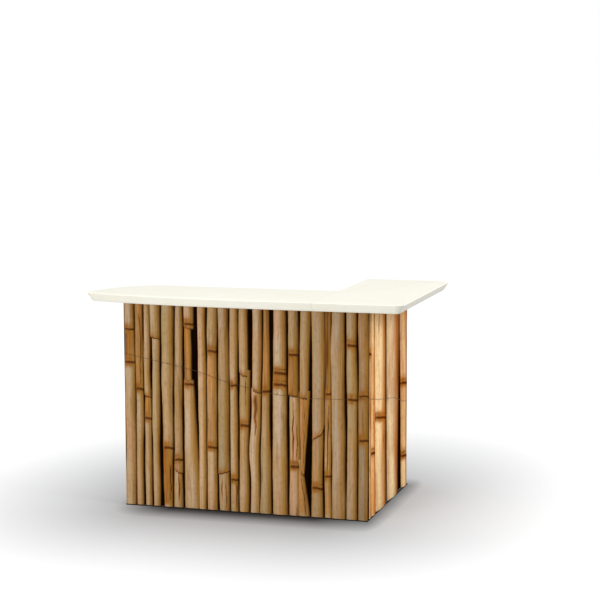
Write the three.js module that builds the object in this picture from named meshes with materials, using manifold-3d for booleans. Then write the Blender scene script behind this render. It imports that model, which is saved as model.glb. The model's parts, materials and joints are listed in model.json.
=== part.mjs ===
import * as THREE from 'three';
import { mergeVertices } from 'three/addons/utils/BufferGeometryUtils.js';
import Module from 'manifold-3d';

const wasm = await Module();
wasm.setup();

// An L-shaped bar counter: a two-piece moulded top on a frame of square steel tube, clad with split canes.
// Lengths are in millimetres. The walls are laid out from their front left corner on the floor, with X to
// the right along the front, Y to the back and Z up, and the whole bar is then centred over its footprint.

// The bar as a whole
const barHeight = 1067;
const wallWidth = 1240;
const wallDepth = 821;
const carcassDepth = 215;
const fitGap = 0.3;
const overrun = 2;

// Counter: how far it reaches past the walls, and the shape of its edge
const frontOverhang = 192;
const rightOverhang = 213;
const leftOverhang = 148;
const backLip = 58;
const returnLip = 6;
const endLip = 3;
const rimDepth = 44;
const rimDraft = 26;
const edgeChamfer = 3;
const frontCornerRadius = 45;
const endCornerRadius = 50;
const tipRadius = 36;
const tipSetback = 76;
const tipFrontAngle = THREE.MathUtils.degToRad(-107);
const tipEndAngle = THREE.MathUtils.degToRad(-188);
const crownHandle = 508;
const crownRise = 8;
const noseHandle = 390;
const endHandle = 131;
const backHandle = 190;
const backCurveReach = 150;
const curveSteps = 10;

// Underside of the counter
const deckThickness = 5;
const rimWall = 6;
const ribThickness = 5;
const ribPitch = 112;
const seamGap = 1.5;

// Moulded pegs under the counter, which drop into holes in the top rails
const bossRadius = 11;
const pegRadius = 7;
const pegLength = 18;
const pegClearance = 0.5;
const pegTip = 2;
const pegInset = 120;

// Frame of square tube
const tubeSize = 25;
const tubeWall = 2;
const seamRailWidth = 60;
const footPlate = 6;

// Levelling feet
const footHeight = 6;
const footRadius = 18;
const footTopRadius = 12;
const footEdge = 3.5;
const stemRadius = 4;
const stemLength = 34;
const stemClearance = 0.3;

// Backing boards and canes
const boardThickness = 6;
const caneDepth = 14;
const caneBond = 0.5;
const caneWaist = 1.2;
const caneFlat = 1.4;
const nodeHalfHeight = 9;
const caneSidePoints = 8;
const caneRoundShare = 0.62;

// Shelves and the decks on the bottom rails
const mainShelfHeight = 520;
const returnShelfHeight = 610;
const shelfThickness = 12;
const shelfSideClearance = 2;
const shelfBackInset = 2;
const runnerLeg = 20;
const runnerThickness = 2.5;
const runnerInset = 3;
const bayDeckThickness = 6;

// Rivets that hold the runners to the posts
const rivetRadius = 5;
const rivetHeight = 2.4;
const rivetCrownRadius = 2.8;
const rivetInset = 12;
const roundSides = 12;

// Each front cane: left and right edge at the top, left and right edge at the bottom, as shares of the
// wall's width, then its rings as shares of its height. Where two edges lie apart, the board shows between.
const frontCaneShares = [
  [0.001, 0.044, 0.001, 0.046, [0.69, 0.84]],
  [0.050, 0.084, 0.051, 0.081, [0.56]],
  [0.087, 0.115, 0.084, 0.116, [0.43, 0.54]],
  [0.118, 0.155, 0.121, 0.152, [0.81]],
  [0.159, 0.216, 0.163, 0.200, [0.29]],
  [0.220, 0.251, 0.204, 0.243, [0.25]],
  [0.254, 0.292, 0.250, 0.308, [0.61, 0.88]],
  [0.310, 0.344, 0.312, 0.344, []],
  [0.348, 0.391, 0.347, 0.388, [0.33, 0.77]],
  [0.394, 0.440, 0.392, 0.441, [0.20]],
  [0.443, 0.478, 0.444, 0.475, [0.18, 0.62]],
  [0.481, 0.528, 0.479, 0.521, [0.44]],
  [0.536, 0.578, 0.524, 0.561, [0.66]],
  [0.581, 0.602, 0.564, 0.612, [0.59]],
  [0.621, 0.673, 0.616, 0.680, [0.60, 0.66]],
  [0.678, 0.721, 0.683, 0.712, [0.23, 0.57, 0.74]],
  [0.724, 0.769, 0.715, 0.742, [0.56]],
  [0.781, 0.832, 0.772, 0.819, [0.15, 0.39]],
  [0.835, 0.851, 0.823, 0.850, [0.58]],
  [0.855, 0.906, 0.854, 0.906, []],
  [0.910, 0.951, 0.914, 0.955, [0.55, 0.81]],
  [0.957, 0.999, 0.960, 0.999, [0.39, 0.60]],
];

// The side's canes are much thicker stems than the front's, laid with a wider gap before the last
const rightCaneShares = [
  [0.002, 0.112, 0.002, 0.080, [0.78]],
  [0.040, 0.152, 0.070, 0.195, [0.30]],
  [0.165, 0.460, 0.200, 0.462, [0.485]],
  [0.470, 0.792, 0.505, 0.775, []],
  [0.815, 0.998, 0.872, 0.998, [0.30, 0.66]],
];

const leftCaneShares = [
  [0.004, 0.245, 0.004, 0.235, [0.22, 0.71]],
  [0.255, 0.470, 0.245, 0.480, [0.52]],
  [0.480, 0.745, 0.495, 0.740, [0.12, 0.83]],
  [0.755, 0.996, 0.750, 0.996, [0.41]],
];

const endCaneShares = [
  [0.004, 0.225, 0.004, 0.240, [0.64]],
  [0.240, 0.510, 0.250, 0.500, [0.30, 0.78]],
  [0.520, 0.730, 0.510, 0.745, [0.47]],
  [0.745, 0.996, 0.755, 0.996, [0.10, 0.58]],
];

// Levels and lines that several pieces share
const wallBase = footHeight + fitGap;
const counterBase = barHeight - rimDepth;
const wallTop = counterBase - fitGap;
const frameFace = caneDepth + boardThickness + fitGap;
const leftX = frameFace;
const rightX = wallWidth - frameFace - tubeSize;
const innerX = wallWidth - carcassDepth;
const middleX = (leftX + tubeSize + innerX) / 2 - tubeSize / 2;
const frontY = frameFace;
const backY = carcassDepth - tubeSize;
const endY = wallDepth - frameFace - tubeSize;
const seamX = innerX - returnLip;
const counterBackY = carcassDepth + backLip;
const counterEndY = wallDepth + endLip;
const counterRightX = wallWidth + rightOverhang;

const bar = new THREE.Group();
bar.name = 'bar_counter';

const finishes = {
  counter: { color: 0xf8f5ea, roughness: 0.42, metalness: 0 },
  cane: { color: 0xb08a5c, roughness: 0.6, metalness: 0 },
  frame: { color: 0x38322c, roughness: 0.5, metalness: 0.35 },
  shelf: { color: 0xc8ad84, roughness: 0.6, metalness: 0 },
  foot: { color: 0x232220, roughness: 0.7, metalness: 0 },
};

function addPiece(name, geometry, finish) {
  geometry.computeVertexNormals();
  const mesh = new THREE.Mesh(geometry, new THREE.MeshStandardMaterial(finishes[finish]));
  mesh.name = name;
  bar.add(mesh);
}

function block(low, high) {
  const size = high.map((value, axis) => value - low[axis]);
  const middle = high.map((value, axis) => (value + low[axis]) / 2);
  return new THREE.BoxGeometry(...size).translate(...middle);
}

function toSolid(geometry) {
  const bare = geometry.clone();
  bare.deleteAttribute('normal');
  bare.deleteAttribute('uv');
  const welded = mergeVertices(bare);
  const mesh = new wasm.Mesh({
    numProp: 3,
    vertProperties: welded.attributes.position.array,
    triVerts: Uint32Array.from(welded.index.array),
  });
  return new wasm.Manifold(mesh);
}

function toGeometry(solid) {
  const mesh = solid.getMesh();
  const geometry = new THREE.BufferGeometry();
  geometry.setAttribute('position', new THREE.BufferAttribute(Float32Array.from(mesh.vertProperties), 3));
  geometry.setIndex(new THREE.BufferAttribute(Uint32Array.from(mesh.triVerts), 1));
  return geometry;
}

function solidBlock(low, high) {
  return toSolid(block(low, high));
}

function solidPost(x, y, radius, low, high) {
  const post = new THREE.CylinderGeometry(radius, radius, high - low, roundSides);
  return toSolid(post.rotateX(Math.PI / 2).translate(x, y, (low + high) / 2));
}

// A closed body through rings of points, each ring at one level and with as many points as the others
function loft(rings) {
  const count = rings[0].length;
  const plan = rings[0].map((point) => new THREE.Vector2(point.x, point.y));
  const cap = THREE.ShapeUtils.triangulateShape(plan, []);
  const positions = rings.flat().flatMap((point) => [point.x, point.y, point.z]);
  const index = [];
  for (const [a, b, c] of cap) {
    index.push(a, c, b);
  }
  for (let ring = 0; ring < rings.length - 1; ring += 1) {
    for (let side = 0; side < count; side += 1) {
      const here = ring * count + side;
      const next = ring * count + ((side + 1) % count);
      index.push(here, next, next + count, here, next + count, here + count);
    }
  }
  const top = (rings.length - 1) * count;
  for (const [a, b, c] of cap) {
    index.push(top + a, top + b, top + c);
  }
  const geometry = new THREE.BufferGeometry();
  geometry.setAttribute('position', new THREE.Float32BufferAttribute(positions, 3));
  geometry.setIndex(index);
  return geometry;
}

// Counter outline, seen from above and drawn anticlockwise from the inner corner of the L. The rounded tip
// at the left is an arc, and the curves that run into it leave it along its tangents.
function tipPoint(angle, handle) {
  return new THREE.Vector2(
    tipRadius - leftOverhang + tipRadius * Math.cos(angle) - handle * Math.sin(angle),
    -tipSetback + tipRadius * Math.sin(angle) + handle * Math.cos(angle),
  );
}

function counterOutline() {
  const tipEnd = tipPoint(tipEndAngle, 0);
  const tipEndPull = tipPoint(tipEndAngle, -endHandle);
  const nosePull = tipPoint(tipFrontAngle, noseHandle);
  const frontEnd = counterRightX - frontCornerRadius;
  const endTop = counterEndY - endCornerRadius;
  const path = new THREE.Path();
  path.moveTo(seamX, counterBackY);
  path.lineTo(backCurveReach, counterBackY);
  path.bezierCurveTo(
    backCurveReach - backHandle, counterBackY,
    tipEndPull.x, tipEndPull.y,
    tipEnd.x, tipEnd.y,
  );
  path.absarc(tipRadius - leftOverhang, -tipSetback, tipRadius, tipEndAngle, tipFrontAngle, false);
  path.bezierCurveTo(
    nosePull.x, nosePull.y,
    frontEnd - crownHandle, -frontOverhang - crownRise,
    frontEnd, -frontOverhang,
  );
  path.absarc(frontEnd, -frontOverhang + frontCornerRadius, frontCornerRadius, -Math.PI / 2, 0, false);
  path.lineTo(counterRightX, endTop);
  path.absarc(counterRightX - endCornerRadius, endTop, endCornerRadius, 0, Math.PI / 2, false);
  path.lineTo(seamX, counterEndY);
  const points = path.getPoints(curveSteps);
  return points.filter((point, at) => at === 0 || point.distanceTo(points[at - 1]) > fitGap);
}

// The way inwards from one edge of the outline. The edge on the seam line is upright, so it has none.
function wayIn(from, to) {
  const along = to.clone().sub(from).normalize();
  return from.x === seamX && to.x === seamX ? new THREE.Vector2() : new THREE.Vector2(-along.y, along.x);
}

// Moves every point of an anticlockwise outline inwards, square to the edges that meet there
function inset(outline, distance) {
  return outline.map((point, at) => {
    const wayA = wayIn(outline[(at + outline.length - 1) % outline.length], point);
    const wayB = wayIn(point, outline[(at + 1) % outline.length]);
    const mitre = wayA.clone().add(wayB).normalize();
    return point.clone().addScaledVector(mitre, distance / Math.max(mitre.dot(wayA), mitre.dot(wayB)));
  });
}

// The room inside the rim, up to the deck. It is so far in that the tightest curve may close up.
function roomInside(outline, distance, low, high) {
  const line = outline.map((point) => [point.x === seamX ? seamX - distance : point.x, point.y]);
  const plan = new wasm.CrossSection([line]).offset(-distance, 'Miter');
  return plan.extrude(high - low).translate([0, 0, low]);
}

function ringAt(outline, z) {
  return outline.map((point) => new THREE.Vector3(point.x, point.y, z));
}

// Pegs: two over each long rail of the front wall, and two over each long rail of the return
const mainPegs = [];
for (const x of [leftX + pegInset, innerX - pegInset]) {
  for (const y of [frontY, backY]) {
    mainPegs.push([x, y + tubeSize / 2]);
  }
}
const returnPegs = [];
for (const y of [backY + pegInset, endY - pegInset]) {
  for (const x of [innerX, rightX]) {
    returnPegs.push([x + tubeSize / 2, y]);
  }
}

function peg(x, y) {
  const profile = [
    new THREE.Vector2(0, -pegLength),
    new THREE.Vector2(pegRadius - pegTip, -pegLength),
    new THREE.Vector2(pegRadius, pegTip - pegLength),
    new THREE.Vector2(pegRadius, overrun),
    new THREE.Vector2(0, overrun),
  ];
  return toSolid(new THREE.LatheGeometry(profile, roundSides).rotateX(Math.PI / 2).translate(x, y, counterBase));
}

function evenly(low, high, pitch) {
  const bays = Math.max(1, Math.round((high - low) / pitch));
  return Array.from({ length: bays - 1 }, (_, at) => low + ((high - low) * (at + 1)) / bays);
}

// Each counter section is one moulding: a deck and a drafted rim, ribbed and pegged underneath
function counterSection(outline, pegs, isMain) {
  const reach = new THREE.Box2().setFromPoints(outline);
  const body = toSolid(loft([
    ringAt(inset(outline, rimDraft), counterBase),
    ringAt(outline, barHeight - edgeChamfer),
    ringAt(inset(outline, edgeChamfer), barHeight),
  ]));
  let hollow = roomInside(outline, rimDraft + rimWall, counterBase - overrun, barHeight - deckThickness);
  const base = counterBase - 2 * overrun;
  const half = ribThickness / 2;
  const { min, max } = reach;
  for (const x of evenly(min.x, seamX, ribPitch).concat(evenly(seamX, max.x, ribPitch))) {
    hollow = hollow.subtract(solidBlock([x - half, min.y, base], [x + half, max.y, barHeight]));
  }
  for (const y of evenly(min.y, counterBackY, ribPitch).concat(evenly(counterBackY, max.y, ribPitch))) {
    hollow = hollow.subtract(solidBlock([min.x, y - half, base], [max.x, y + half, barHeight]));
  }
  const [wallLow, wallHigh] = isMain
    ? [seamX - seamGap - rimWall, seamX - seamGap]
    : [seamX, seamX + rimWall];
  hollow = hollow.subtract(solidBlock([wallLow, min.y, base], [wallHigh, max.y, barHeight]));
  for (const [x, y] of pegs) {
    hollow = hollow.subtract(solidPost(x, y, bossRadius, base, barHeight));
  }
  const [cutLow, cutHigh] = isMain
    ? [seamX - seamGap, max.x + overrun]
    : [min.x - overrun, seamX];
  const beyond = solidBlock(
    [cutLow, min.y - overrun, base],
    [cutHigh, max.y + overrun, barHeight + overrun],
  );
  let section = body.subtract(hollow).subtract(beyond);
  for (const [x, y] of pegs) {
    section = section.add(peg(x, y));
  }
  return toGeometry(section);
}

const outline = counterOutline();
const footprint = new THREE.Box2().setFromPoints(outline);
addPiece('counter_main', counterSection(outline, mainPegs, true), 'counter');
addPiece('counter_return', counterSection(outline, returnPegs, false), 'counter');

// Frame: tubes open at their ends, with a hole in their top wall wherever a peg drops in
function tube(low, high, axis, pegs = []) {
  const innerLow = low.map((value, at) => (at === axis ? value - overrun : value + tubeWall));
  const innerHigh = high.map((value, at) => (at === axis ? value + overrun : value - tubeWall));
  let shape = solidBlock(low, high).subtract(solidBlock(innerLow, innerHigh));
  const hole = pegRadius + pegClearance;
  for (const [x, y] of pegs) {
    shape = shape.subtract(solidPost(x, y, hole, high[2] - tubeWall - overrun, high[2] + overrun));
  }
  return toGeometry(shape);
}

// A corner post stands on a levelling foot, whose stem passes through the plate that closes the post's end
function cornerPost(x, y) {
  const shell = solidBlock([x, y, wallBase], [x + tubeSize, y + tubeSize, wallTop]);
  const bore = solidBlock(
    [x + tubeWall, y + tubeWall, wallBase + footPlate],
    [x + tubeSize - tubeWall, y + tubeSize - tubeWall, wallTop + overrun],
  );
  const middle = tubeSize / 2;
  const hole = solidPost(
    x + middle, y + middle, stemRadius + stemClearance,
    wallBase - overrun, wallBase + footPlate + overrun,
  );
  return toGeometry(shell.subtract(bore).subtract(hole));
}

function foot(x, y) {
  const profile = [
    new THREE.Vector2(0, 0),
    new THREE.Vector2(footRadius, 0),
    new THREE.Vector2(footRadius, footEdge),
    new THREE.Vector2(footTopRadius, footHeight),
    new THREE.Vector2(stemRadius, footHeight),
    new THREE.Vector2(stemRadius, footHeight + stemLength),
    new THREE.Vector2(0, footHeight + stemLength),
  ];
  const turned = new THREE.LatheGeometry(profile, 2 * roundSides).rotateX(Math.PI / 2);
  return turned.translate(x + tubeSize / 2, y + tubeSize / 2, 0);
}

const corners = {
  front_left: [leftX, frontY],
  back_left: [leftX, backY],
  front_right: [rightX, frontY],
  inner_corner: [innerX, backY],
  end_inner: [innerX, endY],
  end_outer: [rightX, endY],
};
for (const [place, [x, y]] of Object.entries(corners)) {
  addPiece(`post_${place}`, cornerPost(x, y), 'frame');
  addPiece(`foot_${place}`, foot(x, y), 'foot');
}

const studs = {
  front_middle: [middleX, frontY],
  back_middle: [middleX, backY],
  front_seam: [innerX, frontY],
  right_middle: [rightX, backY],
};
for (const [place, [x, y]] of Object.entries(studs)) {
  const low = [x, y, wallBase + tubeSize + fitGap];
  const high = [x + tubeSize, y + tubeSize, wallTop - tubeSize - fitGap];
  addPiece(`post_${place}`, tube(low, high, 2), 'frame');
}

const bottomZ = wallBase;
const topZ = wallTop - tubeSize;

function railAlongX(name, fromX, toX, y, z, pegs) {
  const low = [fromX + fitGap, y, z];
  const high = [toX - fitGap, y + tubeSize, z + tubeSize];
  addPiece(name, tube(low, high, 0, pegs), 'frame');
}

function railAlongY(name, x, fromY, toY, z, pegs, width = tubeSize) {
  const low = [x + tubeSize - width, fromY + fitGap, z];
  const high = [x + tubeSize, toY - fitGap, z + tubeSize];
  addPiece(name, tube(low, high, 1, pegs), 'frame');
}

function onLine(pegs, axis, value) {
  return pegs.filter((point) => point[axis] === value + tubeSize / 2);
}

for (const [level, z] of [['bottom', bottomZ], ['top', topZ]]) {
  const isTop = level === 'top';
  const mainSet = isTop ? mainPegs : [];
  const returnSet = isTop ? returnPegs : [];
  railAlongX(`rail_front_${level}`, leftX + tubeSize, rightX, frontY, z, onLine(mainSet, 1, frontY));
  railAlongX(`rail_back_${level}`, leftX + tubeSize, innerX, backY, z, onLine(mainSet, 1, backY));
  railAlongX(`rail_corner_${level}`, innerX + tubeSize, rightX, backY, z, []);
  railAlongX(`rail_end_${level}`, innerX + tubeSize, rightX, endY, z, []);
  railAlongY(`rail_left_${level}`, leftX, frontY + tubeSize, backY, z, []);
  railAlongY(`rail_right_${level}`, rightX, frontY + tubeSize, endY, z, onLine(returnSet, 0, rightX));
  railAlongY(`rail_inner_${level}`, innerX, backY + tubeSize, endY, z, onLine(returnSet, 0, innerX));
  railAlongY(`rail_middle_${level}`, middleX, frontY + tubeSize, backY, z, []);
  railAlongY(`rail_seam_${level}`, innerX, frontY + tubeSize, backY, z, [], isTop ? seamRailWidth : tubeSize);
}

// A split cane stands with its flat back on the board, swells at each ring and may lean or taper
function cane(shares, width) {
  const [leftTop, rightTop, leftBottom, rightBottom, rings] = shares;
  const height = wallTop - wallBase;
  const levels = [{ z: wallBase, full: false }];
  for (const share of rings) {
    const middle = wallBase + share * height;
    levels.push({ z: middle - nodeHalfHeight, full: false });
    levels.push({ z: middle, full: true });
    levels.push({ z: middle + nodeHalfHeight, full: false });
  }
  levels.push({ z: wallTop, full: false });
  return loft(levels.map(({ z, full }) => {
    const rise = (z - wallBase) / height;
    const waist = full ? 0 : caneWaist;
    const left = THREE.MathUtils.lerp(leftBottom, leftTop, rise) * width + waist;
    const right = THREE.MathUtils.lerp(rightBottom, rightTop, rise) * width - waist;
    const relief = caneDepth - (full ? 0 : caneFlat);
    const ring = [];
    for (let at = 0; at < caneSidePoints; at += 1) {
      const turn = (Math.PI * at) / (caneSidePoints - 1);
      const across = (left + right) / 2 - (Math.cos(turn) * (right - left)) / 2;
      const out = at === 0 || at === caneSidePoints - 1 ? 0 : Math.sin(turn) ** caneRoundShare;
      ring.push(new THREE.Vector3(across, caneDepth + (out === 0 ? caneBond : -relief * out), z));
    }
    return ring;
  }));
}

// One wall's cladding, built as the front wall is and then turned: its canes are bonded to one board
function cladding(shares, width, boardFrom, boardTo) {
  const board = solidBlock(
    [boardFrom, caneDepth, wallBase],
    [boardTo, caneDepth + boardThickness, wallTop],
  );
  return toGeometry(shares.reduce((wall, row) => wall.add(toSolid(cane(row, width))), board));
}

const sideStart = caneDepth + boardThickness + fitGap;
const sideWidth = wallDepth - sideStart;
const endWidth = carcassDepth - sideStart;
const quarter = Math.PI / 2;
addPiece('cladding_front', cladding(frontCaneShares, wallWidth, 0, wallWidth), 'cane');
addPiece(
  'cladding_right',
  cladding(rightCaneShares, sideWidth, 0, sideWidth).rotateZ(quarter).translate(wallWidth, sideStart, 0),
  'cane',
);
addPiece(
  'cladding_left',
  cladding(leftCaneShares, endWidth, 0, endWidth).rotateZ(-quarter).translate(0, carcassDepth, 0),
  'cane',
);
addPiece(
  'cladding_end',
  cladding(endCaneShares, endWidth, 0, endWidth).rotateZ(Math.PI).translate(innerX + endWidth, wallDepth, 0),
  'cane',
);

// Angle runners, one at each end of a shelf, riveted to the posts by their upright leg
function rivet(x, y, z, side, axis) {
  const profile = [
    new THREE.Vector2(0, -fitGap),
    new THREE.Vector2(rivetRadius, -fitGap),
    new THREE.Vector2(rivetCrownRadius, rivetHeight),
    new THREE.Vector2(0, rivetHeight),
  ];
  const head = new THREE.LatheGeometry(profile, roundSides);
  if (axis === 1) {
    head.rotateZ(-side * quarter);
  } else if (side < 0) {
    head.rotateX(Math.PI);
  }
  return toSolid(head.translate(x, y, z));
}

// side is 1 where the runner's leg stands on the low side of the shelf, and -1 on the high side
function addRunner(name, face, from, to, shelfZ, side, axis) {
  const across = 1 - axis;
  const low = [0, 0, shelfZ - runnerLeg];
  const high = [0, 0, shelfZ];
  low[axis] = from + runnerInset;
  high[axis] = to - runnerInset;
  low[across] = side > 0 ? face + fitGap : face - fitGap - runnerLeg;
  high[across] = low[across] + runnerLeg;
  const legLow = [...low];
  const legHigh = [...high];
  if (side > 0) {
    legHigh[across] = low[across] + runnerThickness;
  } else {
    legLow[across] = high[across] - runnerThickness;
  }
  const shelfLeg = solidBlock([low[0], low[1], shelfZ - runnerThickness], high);
  let angle = solidBlock(legLow, legHigh).add(shelfLeg);
  const place = [0, 0];
  place[across] = face + side * (fitGap + runnerThickness);
  for (const along of [from + rivetInset, to - rivetInset]) {
    place[axis] = along;
    angle = angle.add(rivet(place[0], place[1], shelfZ - runnerLeg / 2, side, axis));
  }
  addPiece(name, toGeometry(angle), 'frame');
}

addRunner('runner_left_outer', leftX + tubeSize, frontY, carcassDepth, mainShelfHeight, 1, 1);
addRunner('runner_left_inner', middleX, frontY, carcassDepth, mainShelfHeight, -1, 1);
addRunner('runner_right_inner', middleX + tubeSize, frontY, carcassDepth, mainShelfHeight, 1, 1);
addRunner('runner_right_outer', innerX, frontY, carcassDepth, mainShelfHeight, -1, 1);
const returnFrontFace = backY + tubeSize;
addRunner('runner_return_front', returnFrontFace, innerX, rightX + tubeSize, returnShelfHeight, 1, 0);
addRunner('runner_return_end', endY, innerX, rightX + tubeSize, returnShelfHeight, -1, 0);

// Loose shelves, which slide out between the posts on the open side
const shelfPlay = shelfSideClearance + fitGap;

function addShelf(name, low, high, z) {
  addPiece(name, block([...low, z + fitGap], [...high, z + fitGap + shelfThickness]), 'shelf');
}

addShelf(
  'shelf_left',
  [leftX + tubeSize + shelfPlay, frontY + shelfBackInset],
  [middleX - shelfPlay, carcassDepth - shelfBackInset],
  mainShelfHeight,
);
addShelf(
  'shelf_right',
  [middleX + tubeSize + shelfPlay, frontY + shelfBackInset],
  [innerX - shelfPlay, carcassDepth - shelfBackInset],
  mainShelfHeight,
);
addShelf(
  'shelf_return',
  [innerX + shelfBackInset, returnFrontFace + shelfPlay],
  [rightX + tubeSize - shelfBackInset, endY - shelfPlay],
  returnShelfHeight,
);

// Fixed decks, laid on the bottom rails between the posts
const deckZ = wallBase + tubeSize + fitGap;

function addDeck(name, low, high) {
  addPiece(name, block([...low, deckZ], [...high, deckZ + bayDeckThickness]), 'shelf');
}

addDeck('deck_left', [leftX + tubeSize + fitGap, frontY], [middleX - fitGap, carcassDepth]);
addDeck('deck_right', [middleX + tubeSize + fitGap, frontY], [innerX - fitGap, carcassDepth]);
addDeck('deck_corner', [innerX + tubeSize + fitGap, frontY], [rightX - fitGap, returnFrontFace]);
addDeck('deck_return', [innerX, returnFrontFace + fitGap], [rightX + tubeSize, endY - fitGap]);

// The bar's origin: on the floor, under the middle of the counter's footprint
const middle = footprint.getCenter(new THREE.Vector2());
bar.position.set(-middle.x, -middle.y, 0);

export default bar;
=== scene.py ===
import json
import math

import bmesh
import bpy
from mathutils import Matrix, Vector, noise

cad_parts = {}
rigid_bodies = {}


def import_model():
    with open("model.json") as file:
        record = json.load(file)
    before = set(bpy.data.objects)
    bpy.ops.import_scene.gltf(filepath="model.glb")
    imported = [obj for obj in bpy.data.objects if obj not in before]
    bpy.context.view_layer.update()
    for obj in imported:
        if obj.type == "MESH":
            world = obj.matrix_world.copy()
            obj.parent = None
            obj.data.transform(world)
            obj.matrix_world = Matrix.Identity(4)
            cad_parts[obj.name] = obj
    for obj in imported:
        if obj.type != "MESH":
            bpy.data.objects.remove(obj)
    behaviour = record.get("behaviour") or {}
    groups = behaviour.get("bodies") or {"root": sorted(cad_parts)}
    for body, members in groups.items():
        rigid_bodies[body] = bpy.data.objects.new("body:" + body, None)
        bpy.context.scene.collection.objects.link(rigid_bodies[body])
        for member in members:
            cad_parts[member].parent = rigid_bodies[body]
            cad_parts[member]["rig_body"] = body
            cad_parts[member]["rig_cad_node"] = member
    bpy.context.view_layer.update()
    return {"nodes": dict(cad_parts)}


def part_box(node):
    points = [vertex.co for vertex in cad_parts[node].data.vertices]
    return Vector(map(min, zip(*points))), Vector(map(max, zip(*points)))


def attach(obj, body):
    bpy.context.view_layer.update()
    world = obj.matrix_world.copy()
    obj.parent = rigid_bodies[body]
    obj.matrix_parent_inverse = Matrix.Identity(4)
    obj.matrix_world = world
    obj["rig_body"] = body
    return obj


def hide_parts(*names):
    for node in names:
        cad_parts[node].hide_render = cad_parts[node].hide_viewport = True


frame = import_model()

# The camera stands to the right of the bar and a little above its top, and looks left and down at it,
# as the photographer's did: a long lens from some eight metres away.
CAMERA_PLACE = Vector((2.6243, -8.0771, 2.0655))
TURN_LEFT = math.radians(16.98)
TILT_DOWN = math.radians(7.12)
ROLL = math.radians(-0.17)
camera = bpy.data.objects.new("camera", bpy.data.cameras.new("camera"))
camera.data.lens = 104.0
camera.data.sensor_width = 36.0
camera.matrix_world = (
    Matrix.Translation(CAMERA_PLACE)
    @ Matrix.Rotation(TURN_LEFT, 4, "Z")
    @ Matrix.Rotation(math.pi / 2 - TILT_DOWN, 4, "X")
    @ Matrix.Rotation(ROLL, 4, "Z")
)
bpy.context.scene.collection.objects.link(camera)
bpy.context.scene.camera = camera
bpy.context.scene.view_settings.view_transform = "Standard"


# The studio floor is one pale sweep. It takes the bar's shadow, and round the bar a painted shadow too:
# its paint is darker near the bar, and a little light of its own, seen by the camera and in reflections
# only, comes in past the painted shadow's edges and brings it up to white away from the bar.
def linear(red, green, blue):
    """A colour read as 0-255 screen values, as the shader wants it."""
    part = [value / 255 for value in (red, green, blue)]
    return [c / 12.92 if c <= 0.04045 else ((c + 0.055) / 1.055) ** 2.4 for c in part] + [1.0]


def new_material(name):
    material = bpy.data.materials.new(name)
    material.use_nodes = True
    tree = material.node_tree
    return material, tree, tree.nodes["Principled BSDF"]


def feed(tree, socket, value):
    """Sets a socket to a number or a colour, or links another socket to it."""
    if isinstance(value, bpy.types.NodeSocket):
        tree.links.new(value, socket)
    else:
        socket.default_value = value


def reckon(tree, operation, *values):
    """One sum, with numbers or sockets."""
    step = tree.nodes.new("ShaderNodeMath")
    step.operation = operation
    for socket, value in zip(step.inputs, values):
        feed(tree, socket, value)
    return step.outputs[0]


def seen_directly(tree):
    """1 for camera, glossy and transmission rays, and 0 for the light that reaches the bar."""
    rays = tree.nodes.new("ShaderNodeLightPath").outputs
    seen = reckon(tree, "MAXIMUM", rays["Is Camera Ray"], rays["Is Glossy Ray"])
    return reckon(tree, "MAXIMUM", seen, rays["Is Transmission Ray"])


def spread(tree, value, low, high, to_low=0.0, to_high=1.0):
    """Turns the stretch low..high of a value into to_low..to_high, and holds it at either end."""
    ranged = tree.nodes.new("ShaderNodeMapRange")
    ranged.inputs["From Min"].default_value = low
    ranged.inputs["From Max"].default_value = high
    ranged.inputs["To Min"].default_value = to_low
    ranged.inputs["To Max"].default_value = to_high
    tree.links.new(value, ranged.inputs["Value"])
    return ranged.outputs["Result"]


def mixed(tree, factor, first, second):
    """Mixes two colours, each a list or a socket, by a number or a socket."""
    mix = tree.nodes.new("ShaderNodeMix")
    mix.data_type = "RGBA"
    for at, value in ((0, factor), (6, first), (7, second)):
        feed(tree, mix.inputs[at], value)
    return mix.outputs[2]


def parts_of(tree, vector):
    """The X, Y and Z of a vector socket."""
    apart = tree.nodes.new("ShaderNodeSeparateXYZ")
    tree.links.new(vector, apart.inputs[0])
    return apart.outputs


def own_place(tree):
    """A point's place in its piece's own frame."""
    return tree.nodes.new("ShaderNodeTexCoord").outputs["Object"]


# The four edges where the painted shadow ends, each with its axis, its place and how fast the floor comes up
# to white past it; how far that takes, how evenly it goes, and the floor's own light at the end of it.
SHADOW_ENDS = (("X", -0.42, 3.2), ("X", 0.33, 3.1), ("Y", -0.36, 2.95), ("Y", 0.33, 2.3))
FADE_OVER, FADE_POWER, WHITE_GLOW = 4.9, 0.82, 0.73
# A painted contact shadow: the floor is painted darkest right against the bar's foot,
# in front and on the right.
FOOT_EDGES = (("X", -0.50, 1.0), ("X", 0.585, 2.4), ("Y", -0.312, 1.0), ("Y", 0.45, 1.0))
FOOT_SHADE, FOOT_FROM, FOOT_TO = 0.12, 0.01, 0.20
# Distances are told apart as far out as this, and the floor itself goes on well past it.
FARTHEST, FLOOR_SIZE = 10.0, 60


def past_edges(tree, place, edges):
    """How far a point of the floor lies outside four edges, each with its own pace."""
    outside = tree.nodes.new("ShaderNodeCombineXYZ")
    for axis in "XY":
        past = [
            spread(tree, place[axis], end, end + math.copysign(FARTHEST, end), 0.0, FARTHEST * pace)
            for along, end, pace in edges
            if along == axis
        ]
        tree.links.new(reckon(tree, "MAXIMUM", *past), outside.inputs[axis])
    away = tree.nodes.new("ShaderNodeVectorMath")
    away.operation = "LENGTH"
    tree.links.new(outside.outputs[0], away.inputs[0])
    return away.outputs["Value"]


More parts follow.
